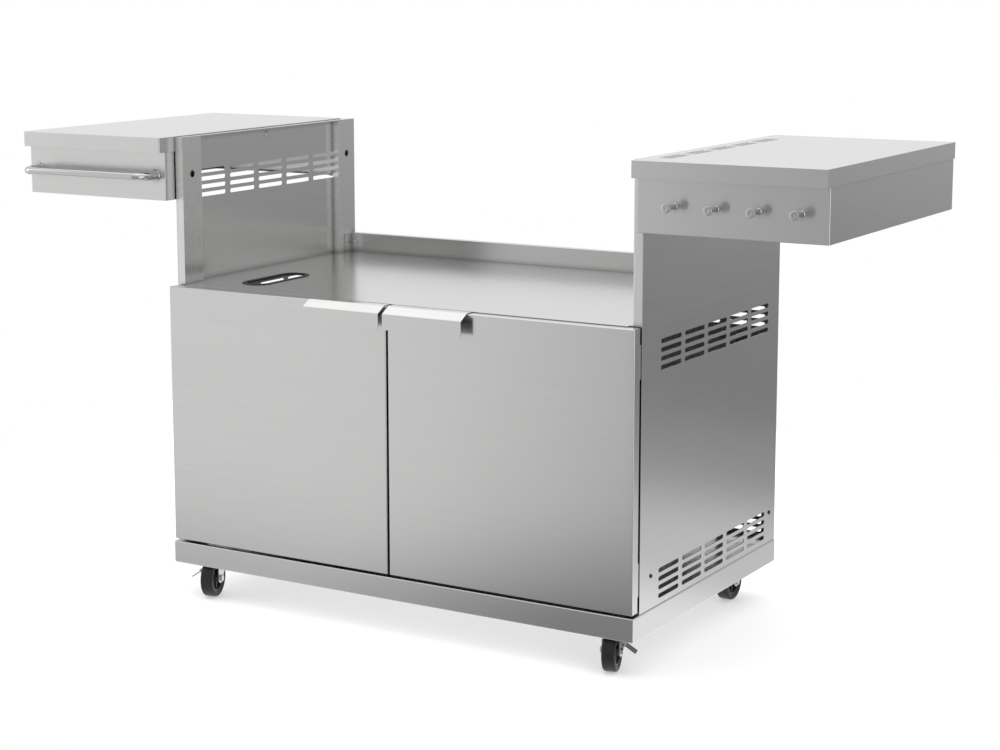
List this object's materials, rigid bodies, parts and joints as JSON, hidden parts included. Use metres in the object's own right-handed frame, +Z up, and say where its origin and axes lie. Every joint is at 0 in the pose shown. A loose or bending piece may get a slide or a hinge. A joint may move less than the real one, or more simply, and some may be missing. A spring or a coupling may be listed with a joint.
{
  "type": "griddle cart",
  "caption": "Stainless outdoor griddle cart: doored cabinet on swivel casters, open bay between vented uprights, side shelves with towel bar and tool hooks.",
  "frame": {"origin": "centre of the bounding box's footprint, on the floor under the casters", "axes": "+X to the right as seen from the doors, +Y to the back, +Z up"},
  "size_m": [1.716, 0.679, 0.9165],
  "materials": {
    "sheet_steel": "fine horizontal brush",
    "polished_steel": "polished",
    "zinc_steel": "zinc plated",
    "galvanised": "mill finish",
    "black_plastic": "moulded",
    "tyre_rubber": "hard rubber",
    "grommet_rubber": "soft rubber"
  },
  "bodies": {
    "cart": {"plinth_frame": "sheet_steel", "left_caster_bearer": "galvanised", "right_caster_bearer": "galvanised", "floor_pan": "sheet_steel", "left_side_panel": "sheet_steel", "right_side_panel": "sheet_steel", "back_panel": "sheet_steel", "deck": "sheet_steel", "header_rail": "galvanised", "rear_rail": "sheet_steel", "left_front_post": "sheet_steel", "right_front_post": "sheet_steel", "left_rear_post": "sheet_steel", "right_rear_post": "sheet_steel", "left_shelf_top": "sheet_steel", "right_shelf_top": "sheet_steel", "left_shelf_apron": "sheet_steel", "right_shelf_apron": "sheet_steel", "towel_bar": "polished_steel", "tool_hooks": "polished_steel", "hose_grommet": "grommet_rubber", "shelf_bolts": "zinc_steel", "panel_screws": "zinc_steel", "rail_screws": "zinc_steel", "door_catches": "black_plastic", "cabinet_hinge_leaves": "zinc_steel", "hinge_pins": "zinc_steel", "caster_plates": "zinc_steel", "caster_bolts": "zinc_steel"},
    "left_door": {"left_door_skin": "sheet_steel", "left_door_liner": "sheet_steel", "left_door_handle": "sheet_steel", "left_door_hinge_leaves": "zinc_steel", "left_strike_plate": "zinc_steel"},
    "right_door": {"right_door_skin": "sheet_steel", "right_door_liner": "sheet_steel", "right_door_handle": "sheet_steel", "right_door_hinge_leaves": "zinc_steel", "right_strike_plate": "zinc_steel"},
    "front_left_swivel": {"front_left_fork": "zinc_steel", "front_left_axle": "zinc_steel"},
    "front_left_wheel": {"front_left_hub": "black_plastic", "front_left_tyre": "tyre_rubber"},
    "front_left_brake": {"front_left_brake_lever": "zinc_steel"},
    "front_right_swivel": {"front_right_fork": "zinc_steel", "front_right_axle": "zinc_steel"},
    "front_right_wheel": {"front_right_hub": "black_plastic", "front_right_tyre": "tyre_rubber"},
    "front_right_brake": {"front_right_brake_lever": "zinc_steel"},
    "rear_left_swivel": {"rear_left_fork": "zinc_steel", "rear_left_axle": "zinc_steel"},
    "rear_left_wheel": {"rear_left_hub": "black_plastic", "rear_left_tyre": "tyre_rubber"},
    "rear_right_swivel": {"rear_right_fork": "zinc_steel", "rear_right_axle": "zinc_steel"},
    "rear_right_wheel": {"rear_right_hub": "black_plastic", "rear_right_tyre": "tyre_rubber"}
  },
  "joints": [
    {"name": "left_door_hinge", "type": "hinge", "parent": "cart", "child": "left_door", "pos_m": [-0.505, -0.2605, 0.37], "axis": [0, 0, -1], "range_deg": [0, 110]},
    {"name": "right_door_hinge", "type": "hinge", "parent": "cart", "child": "right_door", "pos_m": [0.505, -0.2605, 0.37], "axis": [0, 0, 1], "range_deg": [0, 110]},
    {"name": "front_left_swivel", "type": "hinge", "parent": "cart", "child": "front_left_swivel", "pos_m": [-0.447, -0.2295, 0.09], "axis": [0, 0, 1], "continuous": true},
    {"name": "front_left_wheel_spin", "type": "hinge", "parent": "front_left_swivel", "child": "front_left_wheel", "pos_m": [-0.44131, -0.25075, 0.0375], "axis": [0.9659, 0.2588, 0], "continuous": true},
    {"name": "front_left_brake_press", "type": "hinge", "parent": "front_left_swivel", "child": "front_left_brake", "pos_m": [-0.46311, -0.25245, 0.0515], "axis": [0.2588, -0.9659, 0], "range_deg": [0, 20]},
    {"name": "front_right_swivel", "type": "hinge", "parent": "cart", "child": "front_right_swivel", "pos_m": [0.447, -0.2295, 0.09], "axis": [0, 0, 1], "continuous": true},
    {"name": "front_right_wheel_spin", "type": "hinge", "parent": "front_right_swivel", "child": "front_right_wheel", "pos_m": [0.45269, -0.25075, 0.0375], "axis": [0.9659, 0.2588, 0], "continuous": true},
    {"name": "front_right_brake_press", "type": "hinge", "parent": "front_right_swivel", "child": "front_right_brake", "pos_m": [0.47243, -0.24132, 0.0515], "axis": [-0.2588, 0.9659, 0], "range_deg": [0, 20]},
    {"name": "rear_left_swivel", "type": "hinge", "parent": "cart", "child": "rear_left_swivel", "pos_m": [-0.447, 0.2835, 0.09], "axis": [0, 0, 1], "continuous": true},
    {"name": "rear_left_wheel_spin", "type": "hinge", "parent": "rear_left_swivel", "child": "rear_left_wheel", "pos_m": [-0.447, 0.2615, 0.0375], "axis": [1, 0, 0], "continuous": true},
    {"name": "rear_right_swivel", "type": "hinge", "parent": "cart", "child": "rear_right_swivel", "pos_m": [0.447, 0.2835, 0.09], "axis": [0, 0, 1], "continuous": true},
    {"name": "rear_right_wheel_spin", "type": "hinge", "parent": "rear_right_swivel", "child": "rear_right_wheel", "pos_m": [0.447, 0.2615, 0.0375], "axis": [1, 0, 0], "continuous": true}
  ]
}
